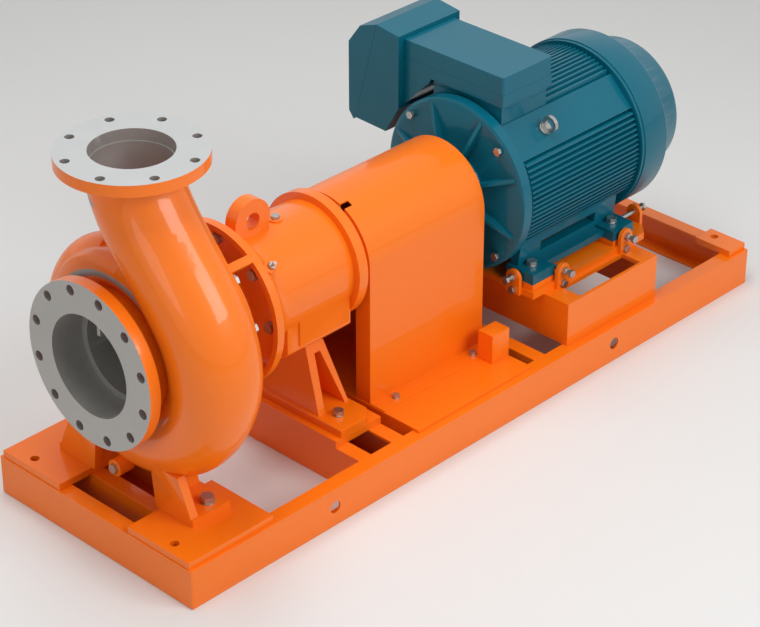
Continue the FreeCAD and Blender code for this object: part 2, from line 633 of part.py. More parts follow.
def windows():
    """Openings of the lantern: sectors of a ring between the ribs."""
    edges = sorted(WINDOW_RIBS)
    cutters = []
    for k, start in enumerate(edges):
        stop = edges[(k + 1) % len(edges)]
        sweep = (stop - start) % 360.0 - WINDOW_RIB
        first = math.radians(start + WINDOW_RIB / 2)
        reach = LANTERN_R + 30
        inner = LANTERN_R - LANTERN_WALL - 14
        def at(radius, angle):
            return Vector(WINDOW_X0, -radius * math.sin(angle), SHAFT_Z + radius * math.cos(angle))
        last = first + math.radians(sweep)
        middle = (first + last) / 2
        rim = Part.Arc(at(reach, first), at(reach, middle), at(reach, last)).toShape()
        back = Part.makeLine(at(reach, last), at(inner, last))
        root = Part.Arc(at(inner, last), at(inner, middle), at(inner, first)).toShape()
        front = Part.makeLine(at(inner, first), at(reach, first))
        face = Part.Face(Part.Wire([rim, back, root, front]))
        cutters.append(face.extrude(AXIS_X * (WINDOW_X1 - WINDOW_X0)))
    return cutters


def make_bearing_frame():
    x_flange = HOUSING_END - 28.0
    outer = turned([(LANTERN_X0, 0), (LANTERN_X0, DRUM_R), (LANTERN_X0 + LANTERN_FLANGE_T, DRUM_R),
                    (LANTERN_X0 + LANTERN_FLANGE_T, LANTERN_R), (LANTERN_TAPER_X, LANTERN_R),
                    (LANTERN_X1 + 26, HOUSING_R + 26, "via"), (LANTERN_X2 + 30, HOUSING_R),
                    (x_flange, HOUSING_R), (x_flange, HOUSING_FLANGE_R),
                    (HOUSING_END, HOUSING_FLANGE_R), (HOUSING_END, 0)])
    sump = prism([Vector(SUMP_X0, -SUMP_Y, SHAFT_Z), Vector(SUMP_X0, -SUMP_Y, SUMP_Z + 16),
                  Vector(SUMP_X0, -SUMP_Y + 16, SUMP_Z), Vector(SUMP_X0, SUMP_Y - 16, SUMP_Z),
                  Vector(SUMP_X0, SUMP_Y, SUMP_Z + 16), Vector(SUMP_X0, SUMP_Y, SHAFT_Z)],
                 AXIS_X * (x_flange - SUMP_X0))
    nose = prism([Vector(SUMP_X0 - 46, -SUMP_Y + 20, SHAFT_Z - 60),
                  Vector(SUMP_X0, -SUMP_Y + 20, SUMP_Z), Vector(SUMP_X0 + 40, -SUMP_Y + 20, SUMP_Z),
                  Vector(SUMP_X0 + 40, -SUMP_Y + 20, SHAFT_Z - 60)], AXIS_Y * (2 * SUMP_Y - 40))
    pads = [side_box(side, SUMP_X0 + 36, x_flange - 8, SUMP_Y - 2, SUMP_Y + 4, SUMP_Z + 26,
                     SHAFT_Z - 40) for side in SIDES]
    eye = fused([rod(EYE_X, -EYE_T / 2, EYE_Z, AXIS_Y, EYE_R, EYE_T),
                 box(EYE_X - EYE_R + 4, EYE_X + EYE_R - 4, -EYE_T / 2, EYE_T / 2,
                     SHAFT_Z + HOUSING_R - 20, EYE_Z - 8)])
    seats = [rod(VENT_X, 0, SHAFT_Z + HOUSING_R - 10, AXIS_Z, 17, 14),
             level_rod(17, HOUSING_R - 12, LEVEL_SEAT + 12)]
    body = fused([outer, sump, nose, eye] + pads + seats)
    hollow = [rod_x(LANTERN_X0 - 1, LANTERN_X1, LANTERN_R - LANTERN_WALL),
              rod_x(LANTERN_X1 - 1, CHAMBER_WALL_X[0], BEARING_OUT_R),
              rod_x(CHAMBER_WALL_X[0], CHAMBER_WALL_X[1], HOUSING_R - 17),
              rod_x(CHAMBER_WALL_X[1], HOUSING_END + 1, BEARING_OUT_R),
              rod(EYE_X, -EYE_T, EYE_Z, AXIS_Y, EYE_HOLE_R, 2 * EYE_T),
              rod(VENT_X, 0, SHAFT_Z + HOUSING_R - 30, AXIS_Z, VENT_R + SEAT, 50),
              level_rod(LEVEL_R + SEAT, HOUSING_R - 30, LEVEL_SEAT + 40)]
    hollow += windows() + cover_bolt_holes(LANTERN_X0 - 1, LANTERN_X0 + LANTERN_FLANGE_T + 1)
    hollow += [rod_x(HOUSING_END - 20, HOUSING_END + 1, COVER_SCREW_R, y, z)
               for y, z in around(COVER_SCREWS, COVER_SCREW_PCD_R, 22.5)]
    hollow += [rod_x(LANTERN_X1 - 1, LANTERN_X1 + 18, FRAME_BOLT_R, y, z)
               for y, z in around(8, BULKHEAD_PCD_R)]
    store("bearing_frame", less(body, hollow))


VENT_R = 7.0
LEVEL_R = 6.0
LEVEL_SEAT = 26.0          # top of the nipple's boss above the housing
LEVEL_TURN = 45.0          # the nipple stands out this far from straight up, on the near side
COVER_SCREW_R = 4.0
COVER_SCREW_PCD_R = 118.0
COVER_SCREWS = 8
FRAME_BOLT_R = 8.0


def level_rod(r, start, length):
    a = math.radians(LEVEL_TURN)
    axis = Vector(0, -math.sin(a), math.cos(a))
    base = Vector(LEVEL_X, 0, SHAFT_Z) + axis * start
    return Part.makeCylinder(r, length, base, axis)


def rollers(x0, rows):
    """The rollers of a bearing held by the rings of their cage, one set for each row."""
    cage = []
    for row in range(rows):
        a, b = x0 + row * BEARING_W + 4, x0 + (row + 1) * BEARING_W - 4
        cage.append(ring_x(a, a + 4, ROLLER_PATH_R + 4, ROLLER_PATH_R - 4))
        cage.append(ring_x(b - 4, b, ROLLER_PATH_R + 4, ROLLER_PATH_R - 4))
        cage += [rod_x(a + 1, b - 1, ROLLER_R, y, z) for y, z in around(ROLLERS, ROLLER_PATH_R)]
        if row:
            cage.append(ring_x(a - 9, a + 1, ROLLER_PATH_R + 4, ROLLER_PATH_R - 4))
    return fused(cage)


def make_bearings():
    places = ((INBOARD_X, 1), (OUTBOARD_X, 2))
    race_out, race_in = ROLLER_PATH_R + ROLLER_R + FIT, ROLLER_PATH_R - ROLLER_R - FIT
    store("pump_bearing_outer_races", *[
        ring_x(x, x + rows * BEARING_W, BEARING_OUT_R - SEAT, race_out) for x, rows in places])
    store("pump_bearing_inner_races", *[
        ring_x(x, x + rows * BEARING_W, race_in, SHAFT_R + SEAT) for x, rows in places])
    store("pump_bearing_rollers", *[rollers(x, rows) for x, rows in places])
    lip = LANTERN_X1 - 20.0
    seal_r = SLEEVE_SEAT_R + FIT
    cover = turned([(lip, seal_r), (lip, 62), (LANTERN_X1 - 10, 72), (LANTERN_X1 - 10, 104),
                    (LANTERN_X1, 104), (LANTERN_X1, BEARING_OUT_R - SEAT),
                    (INBOARD_X, BEARING_OUT_R - SEAT), (INBOARD_X, 66), (LANTERN_X1 + 8, 52),
                    (LANTERN_X1 + 8, seal_r)])
    store("inboard_bearing_cover", cover)
    x0, x1 = HOUSING_END, HOUSING_END + HOUSING_COVER_T
    race_end = OUTBOARD_X + 2 * BEARING_W
    outer = turned([(x0, SHAFT_TIP_R + FIT), (x0, 62), (race_end, 66),
                    (race_end, BEARING_OUT_R - SEAT), (x0, BEARING_OUT_R - SEAT),
                    (x0, 132), (x1 - 4, 132), (x1, 126), (x1, SHAFT_TIP_R + FIT)])
    screws = around(COVER_SCREWS, COVER_SCREW_PCD_R, 22.5)
    store("outboard_bearing_cover", less(outer, [
        rod_x(x0 - 1, x1 + 1, COVER_SCREW_R + 0.5, y, z) for y, z in screws]))
    store("bearing_cover_screws", *[
        hex_bolt(x1, y, z, AXIS_X, COVER_SCREW_R, HOUSING_COVER_T + 14, 13, 4.5, washer=False)
        for y, z in screws])
    store("frame_bolts", *[hex_bolt(LANTERN_X1, y, z, AXIS_X * -1, FRAME_BOLT_R, 16, 24, 11)
                           for y, z in around(8, BULKHEAD_PCD_R)])
    top = SHAFT_Z + HOUSING_R + 4
    store("vent_plug", fused([rod(VENT_X, 0, top - 12, AXIS_Z, VENT_R, 12),
                              hexagon(VENT_X, 0, top, AXIS_Z, 19, 8)]))
    a = math.radians(LEVEL_TURN)
    axis = Vector(0, -math.sin(a), math.cos(a))
    seat = Vector(LEVEL_X, 0, SHAFT_Z) + axis * (HOUSING_R + LEVEL_SEAT)
    store("level_nipple", fused([level_rod(LEVEL_R, HOUSING_R + LEVEL_SEAT - 12, 12),
                                 hexagon(seat.x, seat.y, seat.z, axis, 16, 8),
                                 level_rod(4.5, HOUSING_R + LEVEL_SEAT + 8, 12)]))


def make_leg():
    """Cast support under the bearing frame: a tapered post with a pocket on each side for its bolt."""
    foot_z = CHANNEL_H + LEG_PAD_T
    half_x, half_y = 58.0, LEG_PAD_HY
    corner = 30.0
    foot = prism([Vector(LEG_X - half_x, -half_y, foot_z), Vector(LEG_X + half_x - corner, -half_y, foot_z),
                  Vector(LEG_X + half_x, -half_y + corner, foot_z),
                  Vector(LEG_X + half_x, half_y - corner, foot_z),
                  Vector(LEG_X + half_x - corner, half_y, foot_z),
                  Vector(LEG_X - half_x, half_y, foot_z)], AXIS_Z * LEG_FOOT_T)
    top = SUMP_Z

    def section(z, hx, hy):
        return Part.makePolygon([Vector(LEG_X - hx, -hy, z), Vector(LEG_X + hx, -hy, z),
                                 Vector(LEG_X + hx, hy, z), Vector(LEG_X - hx, hy, z),
                                 Vector(LEG_X - hx, -hy, z)])
    post = Part.makeLoft([section(foot_z + LEG_FOOT_T, 50, 132), section(top - 22, 27, 62)],
                         True, True)
    head = box(LEG_X - 52, LEG_X + 52, -66, 66, top - 24, top)
    pockets = []
    for side in SIDES:
        wedge = prism([Vector(LEG_X - 28, side * 26, foot_z + LEG_FOOT_T),
                       Vector(LEG_X + 38, side * 26, foot_z + LEG_FOOT_T),
                       Vector(LEG_X + 10, side * 26, top - 60), Vector(LEG_X - 8, side * 26, top - 60)],
                      AXIS_Y * (side * 120))
        pockets.append(wedge)
    holes = [rod(LEG_BOLT_X, y, foot_z - 1, AXIS_Z, LEG_BOLT_R + BOLT_CLEAR, LEG_FOOT_T + 2)
             for y in (-LEG_BOLT_Y, LEG_BOLT_Y)]
    store("support_leg", less(fused([foot, less(post, pockets), head]), holes))
    store("support_leg_bolts", *[
        hex_bolt(LEG_BOLT_X, y, foot_z + LEG_FOOT_T, AXIS_Z, LEG_BOLT_R, LEG_FOOT_T + LEG_PAD_T,
                 24, 11) for y in (-LEG_BOLT_Y, LEG_BOLT_Y)])


# ---------------------------------------------------------------- coupling and its guard
HUB_SIDE = DISC_T + HUB_FLANGE_T
COUPLING_BOLT_R = 6.0
COUPLING_PCD_R = 70.0
COUPLING_BOLTS = 6
GUARD_SCREW_R = 5.0
GUARD_SCREW_X = (-190.0, 85.0)
GUARD_SCREW_Y = GUARD_R + 24.0
GUARD_NOTCH = (-254.0, -228.0, -66.0, -50.0)
BRACKET_X = (85.0, 147.0)
BRACKET_Y = (190.0, 237.0)
BRACKET_Z = 190.0


def hub(tip, facing, bore):
    """A coupling hub on a shaft end: tip is the shaft's end, facing points along the shaft's way out."""
    def along(a, b):
        return sorted((tip - facing * a, tip - facing * b))
    boss0, boss1 = along(0, HUB_L)
    flange0, flange1 = along(0, HUB_FLANGE_T)
    body = fused([rod_x(boss0, boss1, HUB_OUT_R), rod_x(flange0, flange1, HUB_FLANGE_R)])
    return less(body, [rod_x(boss0 - 1, boss1 + 1, bore + SEAT)]
                + coupling_holes(flange0 - 1, flange1 + 1))


def coupling_holes(x0, x1):
    return [rod_x(x0, x1, COUPLING_BOLT_R + SEAT, y, z)
            for y, z in around(COUPLING_BOLTS, COUPLING_PCD_R)]


def make_coupling():
    store("pump_hub", hub(PUMP_TIP_X, 1, SHAFT_TIP_R))
    store("motor_hub", hub(MOTOR_TIP_X, -1, MOTOR_SHAFT_R))
    x0, x1 = PUMP_TIP_X + DISC_T, MOTOR_TIP_X - DISC_T
    spacer = fused([rod_x(x0, x1, HUB_OUT_R), rod_x(x0, x0 + HUB_FLANGE_T, HUB_FLANGE_R),
                    rod_x(x1 - HUB_FLANGE_T, x1, HUB_FLANGE_R)])
    bore = [rod_x(x0 - 1, x1 + 1, HUB_OUT_R - 10)] + coupling_holes(x0 - 1, x1 + 1)
    store("coupling_spacer", less(spacer, bore))
    discs, bolts = [], []
    for start in (PUMP_TIP_X, x1):
        ring = ring_x(start, start + DISC_T, HUB_FLANGE_R, HUB_OUT_R + 4)
        discs.append(less(ring, coupling_holes(start - 1, start + DISC_T + 1)))
        head, nut = start - HUB_FLANGE_T, start + DISC_T + HUB_FLANGE_T
        for y, z in around(COUPLING_BOLTS, COUPLING_PCD_R):
            bolts.append(fused([
                hex_bolt(head, y, z, AXIS_X * -1, COUPLING_BOLT_R, nut - head + 9, 19, 8, False),
                hexagon(nut, y, z, AXIS_X, 19, 9)]))
    store("coupling_discs", *discs)
    store("coupling_bolts", *bolts)


def arch(x0, x1, r):
    """An upside-down U filled in: a half round about the shaft on straight legs down to the floor."""
    floor = CHANNEL_H + FLOOR_PLATE_T
    top = Part.Arc(Vector(x0, -r, SHAFT_Z), Vector(x0, 0, SHAFT_Z + r), Vector(x0, r, SHAFT_Z))
    wire = Part.Wire([top.toShape(),
                      Part.makeLine(Vector(x0, r, SHAFT_Z), Vector(x0, r, floor)),
                      Part.makeLine(Vector(x0, r, floor), Vector(x0, -r, floor)),
                      Part.makeLine(Vector(x0, -r, floor), Vector(x0, -r, SHAFT_Z))])
    return Part.Face(wire).extrude(AXIS_X * (x1 - x0))


def make_guard():
    floor = CHANNEL_H + FLOOR_PLATE_T
    plate = box(FLOOR_X0, FLOOR_X1, -FLOOR_HALF_Y, FLOOR_HALF_Y, CHANNEL_H, floor)
    spots = [(x, side * GUARD_SCREW_Y) for x in GUARD_SCREW_X for side in SIDES]
    brackets = []
    for side in SIDES:
        outer = side_box(side, BRACKET_X[0], BRACKET_X[1], BRACKET_Y[0], BRACKET_Y[1], floor,
                         BRACKET_Z)
        brackets.append(outer)
    store("guard_floor_plate", less(fused([plate] + brackets), [
        rod(x, y, CHANNEL_H - 1, AXIS_Z, GUARD_SCREW_R + SEAT, FLOOR_PLATE_T + 2)
        for x, y in spots]))
    inside = arch(GUARD_X0 + GUARD_T, GUARD_X1 - GUARD_T, GUARD_R - GUARD_T)
    ends = arch(GUARD_X0 - 1, GUARD_X1 + 1, GUARD_R - GUARD_LIP)
    notch = box(GUARD_NOTCH[0] - 1, GUARD_NOTCH[1], GUARD_NOTCH[2], GUARD_NOTCH[3],
                SHAFT_Z + GUARD_R - GUARD_LIP, SHAFT_Z + GUARD_R + 5)
    shell = less(arch(GUARD_X0, GUARD_X1, GUARD_R), [inside, ends, notch])
    feet = [side_box(side, GUARD_X0, GUARD_X1, GUARD_R - GUARD_T, GUARD_R + GUARD_FOOT, floor,
                     floor + GUARD_T) for side in SIDES]
    clear = [side_box(side, BRACKET_X[0] - FIT, GUARD_X1 + 1, BRACKET_Y[0] - FIT,
                      BRACKET_Y[1], floor - 1, BRACKET_Z) for side in SIDES]
    holes = [rod(x, y, floor - 1, AXIS_Z, GUARD_SCREW_R + BOLT_CLEAR, GUARD_T + 2)
             for x, y in spots]
    store("coupling_guard", less(fused([shell] + feet), clear + holes))
    store("guard_screws", *[hex_bolt(x, y, floor + GUARD_T, AXIS_Z, GUARD_SCREW_R,
                                     GUARD_T + FLOOR_PLATE_T, 17, 7) for x, y in spots])


# ---------------------------------------------------------------- motor mounting
PEDESTAL_X0, PEDESTAL_X1 = 290.0, 640.0
PEDESTAL_HALF_Y = 305.0
PEDESTAL_T = 12.0
PEDESTAL_SLOT = (345.0, 582.0, 236.0, 296.0)
MOTOR_PLATE_X0, MOTOR_PLATE_X1 = 247.5, 712.0
MOTOR_PLATE_HALF_Y = 226.0
MOTOR_PLATE_CORNER = 30.0
FOOT_PADS = ((254.0, 334.0), (565.0, 645.0))
FOOT_Y0, FOOT_Y1 = 130.0, 218.0
MOTOR_FOOT_T = 28.0
MOTOR_BOLT_R = 8.0
LUG_T = 10.0
LUG_W = 44.0
LUG_H = 66.0
LUG_X = (350.0, 597.0)
LUG_Y = 165.0
JACK_R = 6.0
JACK_UP = 46.0             # jack screws above the foot of their lug
LUG_BOLT_UP = 9.5


def lug_places():
    """Where each lug stands: the middle of its inner face and the way it faces."""
    places = [(x, side * MOTOR_PLATE_HALF_Y, AXIS_Y * side) for x in LUG_X for side in SIDES]
    places += [(MOTOR_PLATE_X0, side * LUG_Y, AXIS_X * -1) for side in SIDES]
    places += [(MOTOR_PLATE_X1, side * LUG_Y, AXIS_X) for side in SIDES]
    return places


def lug(x, y, out):
    """A flat lug with a round top, standing against the edge of the motor plate."""
    foot = CHANNEL_H + PEDESTAL_H
    across = AXIS_Z.cross(out)
    base = Vector(x, y, foot)
    r = LUG_W / 2
    shoulder = AXIS_Z * (LUG_H - r)
    left, right = across * -r, across * r
    edges = [Part.makeLine(base + left, base + right),
             Part.makeLine(base + right, base + right + shoulder),
             Part.Arc(base + right + shoulder, base + AXIS_Z * LUG_H,
                      base + left + shoulder).toShape(),
             Part.makeLine(base + left + shoulder, base + left)]
    return Part.Face(Part.Wire(edges)).extrude(out * LUG_T)


def jack_reach(x, y, out):
    """How far a jack screw runs in from its lug's inner face to touch the motor's foot."""
    if abs(out.x) > 0.5:
        return abs(x - (FOOT_PADS[0][0] if out.x < 0 else FOOT_PADS[1][1]))
    on_pad = any(a <= x <= b for a, b in FOOT_PADS)
    return abs(y) - (FOOT_Y1 if on_pad else FOOT_WAIST_Y)


FOOT_WAIST_Y = 186.0


def make_motor_mounting():
    foot = CHANNEL_H
    top = foot + PEDESTAL_H
    seat = top + MOTOR_PLATE_T
    shell = less(box(PEDESTAL_X0, PEDESTAL_X1, -PEDESTAL_HALF_Y, PEDESTAL_HALF_Y, foot, top),
                 [box(PEDESTAL_X0 + PEDESTAL_T, PEDESTAL_X1 - PEDESTAL_T,
                      -PEDESTAL_HALF_Y + PEDESTAL_T, PEDESTAL_HALF_Y - PEDESTAL_T, foot - 1,
                      top - PEDESTAL_T)])
    slots = [side_box(side, PEDESTAL_SLOT[0], PEDESTAL_SLOT[1], PEDESTAL_SLOT[2],
                      PEDESTAL_SLOT[3], top - PEDESTAL_T - 1, top + 1) for side in SIDES]
    store("motor_pedestal", less(shell, slots))
    bolts = [(x, side * MOTOR_A / 2) for x in (MOTOR_FOOT_X, MOTOR_FOOT_X + MOTOR_B)
             for side in SIDES]
    c = MOTOR_PLATE_CORNER
    x0, x1, hy = MOTOR_PLATE_X0, MOTOR_PLATE_X1, MOTOR_PLATE_HALF_Y
    plate = prism([Vector(x, y, top) for x, y in (
        (x0, -hy), (x1 - c, -hy), (x1, -hy + c), (x1, hy - c), (x1 - c, hy), (x0, hy))],
        AXIS_Z * MOTOR_PLATE_T)
    holes = [rod(x, y, top - 1, AXIS_Z, MOTOR_BOLT_R + SEAT, MOTOR_PLATE_T + 2) for x, y in bolts]
    lugs, lug_bolts, screws = [], [], []
    for x, y, out in lug_places():
        base = Vector(x, y, top)
        low, high = base + AXIS_Z * LUG_BOLT_UP, base + AXIS_Z * JACK_UP
        reach = jack_reach(x, y, out)
        outer_low, outer_high = low + out * LUG_T, high + out * LUG_T
        holes.append(rod(outer_low.x, outer_low.y, outer_low.z, out * -1, JACK_R + SEAT, 40))
        lugs.append(less(lug(x, y, out), [
            rod(outer_low.x, outer_low.y, outer_low.z, out * -1, JACK_R + SEAT, LUG_T),
            rod(outer_high.x, outer_high.y, outer_high.z, out * -1, JACK_R + SEAT, LUG_T)]))
        lug_bolts.append(hex_bolt(outer_low.x, outer_low.y, outer_low.z, out, JACK_R, 38, 19, 8,
                                  washer=False))
        head = outer_high + out * 22
        screws.append(fused([
            rod(head.x, head.y, head.z, out * -1, JACK_R, 22 + LUG_T + reach),
            hexagon(head.x, head.y, head.z, out, 19, 8),
            hexagon(outer_high.x, outer_high.y, outer_high.z, out, 19, 10)]))
    store("motor_mount_plate", less(plate, holes))
    store("jack_lugs", *lugs)
    store("jack_lug_bolts", *lug_bolts)
    store("jack_screws", *screws)
    shims = []
    for x, (a, b) in zip((MOTOR_FOOT_X, MOTOR_FOOT_X + MOTOR_B), FOOT_PADS):
        for side in SIDES:
            shim = side_box(side, a, b, FOOT_Y0, FOOT_Y1, seat, seat + SHIM_T)
            shims.append(less(shim, [rod(x, side * MOTOR_A / 2, seat - 1, AXIS_Z,
                                         MOTOR_FOOT_HOLE_R, SHIM_T + 2)]))
    store("motor_shims", *shims)
    store("motor_foot_bolts", *[
        hex_bolt(x, y, seat + SHIM_T + MOTOR_FOOT_T, AXIS_Z, MOTOR_BOLT_R,
                 MOTOR_FOOT_T + SHIM_T + MOTOR_PLATE_T, 24, 10) for x, y in bolts])


# ---------------------------------------------------------------- motor
FEET_Z = SHAFT_Z - MOTOR_H
CORNER_IN, CORNER_OUT = 114.0, 186.0       # the flat corner bands: near and far offsets
BOX_PAD = (240.0, 404.0, 112.0)            # seat of the terminal adapter: x limits and half width
ADAPTER_SEAT_UP = 224.0
SHIELD_X0, SHIELD_X1 = 200.0, FRAME_X0
SHIELD_HUB_X = 158.0
SHIELD_HUB_R = 92.0
SHIELD_RIBS = 8
MOTOR_BEARING_OUT_R = 70.0                 # 65 x 140 x 33 bearings
MOTOR_BEARING_BORE_R = 32.5
MOTOR_BEARING_W = 33.0
DRIVE_BEARING_X = 172.0
FAN_BEARING_X = FRAME_X1 + 4.0
ROTOR_X0, ROTOR_X1 = 320.0, 590.0
FAN_X0, FAN_X1 = 706.0, 762.0
FAN_HUB_R = 42.0
FAN_BLADES = 9
EYE_BOLT_X = {-1: 356.0, 1: 528.0}         # near side and far side
RIB_X = (481.0, 556.0)


def fins(x0, x1):
    """Cooling fins: level on the sides, upright on top and below, ending on one cylinder."""
    blades = []
    count = int(CORNER_IN / FIN_STEP)
    for k in range(-count, count + 1):
        lift = k * FIN_STEP
        for side in SIDES:
            blades.append(side_box(side, x0, x1, FRAME_R - 50, FIN_R + 5,
                                   SHAFT_Z + lift - FIN_T / 2, SHAFT_Z + lift + FIN_T / 2))
            rise = sorted((SHAFT_Z + side * (FRAME_R - 50), SHAFT_Z + side * (FIN_R + 5)))
            blades.append(box(x0, x1, lift - FIN_T / 2, lift + FIN_T / 2, rise[0], rise[1]))
    return [blade.common(rod_x(x0, x1, FIN_R)) for blade in blades]


def motor_foot(side):
    """The cast foot of one side: a rail with thick pads at both ends and a wall up to the body."""
    x0, x1 = FOOT_PADS[0][0], FOOT_PADS[1][1]
    top = FEET_Z + MOTOR_FOOT_T
    rail = side_box(side, x0, x1, FOOT_Y0, FOOT_WAIST_Y, FEET_Z + 4, top - 6)
    pads = [side_box(side, a, b, FOOT_Y0, FOOT_Y1, FEET_Z, top) for a, b in FOOT_PADS]
    wall = prism([Vector(x0 + 10, side * y, z) for y, z in (
        (FOOT_Y0, FEET_Z + 4), (FOOT_Y0 + 26, FEET_Z + 4), (CORNER_OUT - 14, SHAFT_Z - 84),
        (CORNER_OUT - 40, SHAFT_Z - 84))], AXIS_X * (x1 - x0 - 20))
    slot = side_box(side, x0 + 90, x1 - 90, FOOT_Y0 - 20, FOOT_Y1, top + 14, top + 42)
    return [rail, wall] + pads, [slot]


def make_motor_frame():
    core = rod_x(FRAME_X0, FRAME_X1, FRAME_R)
    bands = []
    for sy in SIDES:
        for sz in SIDES:
            bands.append(prism([Vector(FRAME_X0, sy * y, SHAFT_Z + sz * z) for y, z in (
                (CORNER_OUT, CORNER_IN), (CORNER_IN, CORNER_OUT), (CORNER_IN - 30, CORNER_IN - 10),
                (CORNER_IN - 10, CORNER_IN - 30))], AXIS_X * (FRAME_X1 - FRAME_X0)))
    pad = box(BOX_PAD[0], BOX_PAD[1], -BOX_PAD[2], BOX_PAD[2], SHAFT_Z + FRAME_R - 60,
              SHAFT_Z + ADAPTER_SEAT_UP)
    feet, slots = [], []
    for side in SIDES:
        solids, cuts = motor_foot(side)
        feet += solids
        slots += cuts
    body = fused([core, pad] + bands + feet + fins(FRAME_X0 + 8, FRAME_X1 - 6))
    bolts = [rod(x, side * MOTOR_A / 2, FEET_Z - 1, AXIS_Z, MOTOR_FOOT_HOLE_R, MOTOR_FOOT_T + 2)
             for x in (MOTOR_FOOT_X, MOTOR_FOOT_X + MOTOR_B) for side in SIDES]
    hollow = [rod_x(FRAME_X0 - 1, FRAME_X1 + 1, STATOR_R + SEAT)] + slots + bolts
    hollow += shield_bolt_holes(FRAME_X0 - 1, FRAME_X0 + 26)
    hollow += shield_bolt_holes(FRAME_X1 - 26, FRAME_X1 + 1)
    hollow += [eye_rod(side, EYE_SEAT - 30, 32, EYE_SHANK_R + SEAT) for side in SIDES]
    store("motor_frame", less(body, hollow))


EYE_SEAT = (CORNER_IN + CORNER_OUT) / math.sqrt(2.0)
EYE_SHANK_R = 8.0
EYE_RING_T = 10.0
SHIELD_SCREW_R = 6.0


def eye_rod(side, start, length, r):
    """A cylinder on the slanting line of a lifting eye, from a distance off the shaft line."""
    axis = Vector(0, side, 1).normalize()
    base = Vector(EYE_BOLT_X[side], 0, SHAFT_Z) + axis * start
    return Part.makeCylinder(r, length, base, axis)


def shield_bolt_holes(x0, x1):
    return [rod_x(x0, x1, SHIELD_SCREW_R + SEAT, y, z) for y, z in around(4, SHIELD_BOLT_R, 45)]


def make_motor_ends():
    spigot = STATOR_R
    drive = turned([(SHIELD_HUB_X, MOTOR_BEARING_BORE_R + 4), (SHIELD_HUB_X, SHIELD_HUB_R - 8),
                    (SHIELD_HUB_X + 8, SHIELD_HUB_R), (SHIELD_X0 - 8, SHIELD_HUB_R + 8),
                    (SHIELD_X0 + 3, 140), (SHIELD_X0, SHIELD_R - 8), (SHIELD_X0 + 4, SHIELD_R),
                    (SHIELD_X1, SHIELD_R), (SHIELD_X1, spigot), (SHIELD_X1 + 10, spigot),
                    (SHIELD_X1 + 10, spigot - 14), (SHIELD_X1 - 10, 120),
                    (DRIVE_BEARING_X + MOTOR_BEARING_W, MOTOR_BEARING_OUT_R + 14),
                    (DRIVE_BEARING_X + MOTOR_BEARING_W, MOTOR_BEARING_OUT_R),
                    (DRIVE_BEARING_X, MOTOR_BEARING_OUT_R),
                    (DRIVE_BEARING_X, MOTOR_BEARING_BORE_R + 4)])
    ribs = []
    for k in range(SHIELD_RIBS):
        rib = prism([Vector(x, -5, SHAFT_Z + r) for x, r in (
            (SHIELD_X0 - 32, SHIELD_HUB_R - 10), (SHIELD_X0 + 8, SHIELD_HUB_R - 10),
            (SHIELD_X0 + 8, SHIELD_R - 15), (SHIELD_X0 - 3, SHIELD_R - 15))], AXIS_Y * 10)
        rib.rotate(Vector(0, 0, SHAFT_Z), AXIS_X, (k + 0.5) * 360.0 / SHIELD_RIBS)
        ribs.append(rib)
    store("drive_endshield", less(fused([drive] + ribs), shield_bolt_holes(SHIELD_X0 - 30, SHIELD_X1 + 1)))
    seat = COWL_R - COWL_T - SEAT
    x0, x1 = FRAME_X1, COWL_X0 + 12
    fan = turned([(x0, MOTOR_BEARING_BORE_R + 4 + 60), (x0 - 10, spigot - 14), (x0 - 10, spigot),
                  (x0, spigot), (x0, seat), (x1, seat), (x1, seat - 30), (x0 + 24, 140, "via"),
                  (FAN_BEARING_X + MOTOR_BEARING_W + 8, 90),
                  (FAN_BEARING_X + MOTOR_BEARING_W + 8, MOTOR_BEARING_BORE_R + 4),
                  (FAN_BEARING_X + MOTOR_BEARING_W, MOTOR_BEARING_BORE_R + 4),
                  (FAN_BEARING_X + MOTOR_BEARING_W, MOTOR_BEARING_OUT_R),
                  (FAN_BEARING_X, MOTOR_BEARING_OUT_R), (FAN_BEARING_X - 2, 88)])
    store("fan_endshield", less(fan, shield_bolt_holes(x0 - 1, x1 + 12)))
    race = [ring_x(x, x + MOTOR_BEARING_W, MOTOR_BEARING_OUT_R - SEAT, MOTOR_BEARING_BORE_R + SEAT)
            for x in (DRIVE_BEARING_X, FAN_BEARING_X)]
    store("motor_bearings", *race)
    front = [hex_bolt(SHIELD_X0 - 6, y, z, AXIS_X * -1, SHIELD_SCREW_R, SHIELD_X1 - SHIELD_X0 + 28,
                      19, 8, washer=False) for y, z in around(4, SHIELD_BOLT_R, 45)]
    back = [hex_bolt(x1, y, z, AXIS_X, SHIELD_SCREW_R, x1 - x0 + 22, 19, 8, washer=False)
            for y, z in around(4, SHIELD_BOLT_R, 45)]
    store("endshield_bolts", *(front + back))


